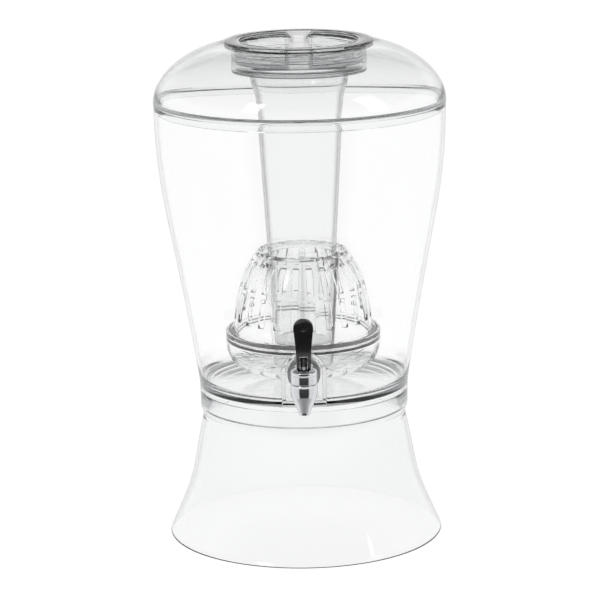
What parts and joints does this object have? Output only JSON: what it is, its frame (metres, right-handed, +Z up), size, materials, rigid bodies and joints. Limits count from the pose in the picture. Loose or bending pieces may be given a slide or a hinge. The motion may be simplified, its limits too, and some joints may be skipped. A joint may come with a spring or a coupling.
{
  "type": "beverage dispenser",
  "caption": "Clear countertop drink dispenser: flared tank on a bell stand, domed lid with screw cap, ice tube, slotted infuser and lever tap.",
  "frame": {"origin": "on the vertical axis of the tank, on the surface that the stand rests on", "axes": "+Z up; -Y towards the tap, the front; +X to the right as seen from the front"},
  "size_m": [0.2804, 0.296, 0.484],
  "materials": {
    "clear_acrylic": "polished clear acrylic",
    "clear_silicone": "translucent silicone",
    "white_silicone": "white silicone",
    "black_rubber": "black rubber",
    "chrome": "polished chrome plate",
    "steel": "stainless steel",
    "black_plastic": "gloss black plastic",
    "white_nylon": "natural white nylon"
  },
  "bodies": {
    "stand": {"base_stand": "clear_acrylic"},
    "tank_body": {"tank": "clear_acrylic", "tap_body": "chrome", "tap_bonnet": "chrome", "bonnet_gasket": "white_silicone", "stem_o_ring": "black_rubber", "tap_spring": "steel", "outer_washer": "clear_silicone", "inner_washer": "clear_silicone", "back_nut": "white_nylon"},
    "lid": {"dome_lid": "clear_acrylic", "ice_tube": "clear_acrylic"},
    "cap_ring": {"cap_seal": "clear_silicone"},
    "cap": {"screw_cap": "clear_acrylic"},
    "infuser": {"infuser_cup": "clear_acrylic"},
    "infuser_top": {"infuser_dome": "clear_acrylic"},
    "valve": {"tap_stem": "steel", "stem_washer": "steel", "seat_plug": "white_silicone", "lever_pin": "steel"},
    "lever": {"tap_lever": "black_plastic"}
  },
  "joints": [
    {"name": "tank_lift", "type": "slide", "parent": "stand", "child": "tank_body", "axis": [0, 0, 1], "range_m": [0, 0.15]},
    {"name": "lid_lift", "type": "slide", "parent": "tank_body", "child": "lid", "axis": [0, 0, 1], "range_m": [0, 0.3]},
    {"name": "cap_rise", "type": "slide", "parent": "lid", "child": "cap_ring", "axis": [0, 0, 1], "range_m": [0, 0.0185]},
    {"name": "cap_turn", "type": "hinge", "parent": "cap_ring", "child": "cap", "pos_m": [0, 0, 0.481], "axis": [0, 0, 1], "range_deg": [0, 810]},
    {"name": "infuser_twist", "type": "hinge", "parent": "lid", "child": "infuser", "pos_m": [0, 0, 0.2], "axis": [0, 0, 1], "range_deg": [0, 30]},
    {"name": "infuser_open", "type": "slide", "parent": "infuser", "child": "infuser_top", "axis": [0, 0, 1], "range_m": [0, 0.09]},
    {"name": "stem_lift", "type": "slide", "parent": "tank_body", "child": "valve", "axis": [0, 0, 1], "range_m": [0, 0.003], "deforming": ["tap_spring"]},
    {"name": "lever_tilt", "type": "hinge", "parent": "valve", "child": "lever", "pos_m": [0, -0.143, 0.2034], "axis": [1, 0, 0], "range_deg": [0, 50], "stiffness_Nm_per_rad": 0.0106, "springref_deg": -50}
  ],
  "couplings": [
    {"joint": "cap_rise", "follows": "cap_turn", "m_per_rad": 0.0011777},
    {"joint": "stem_lift", "follows": "lever_tilt", "m_per_rad": 0.0034377}
  ]
}
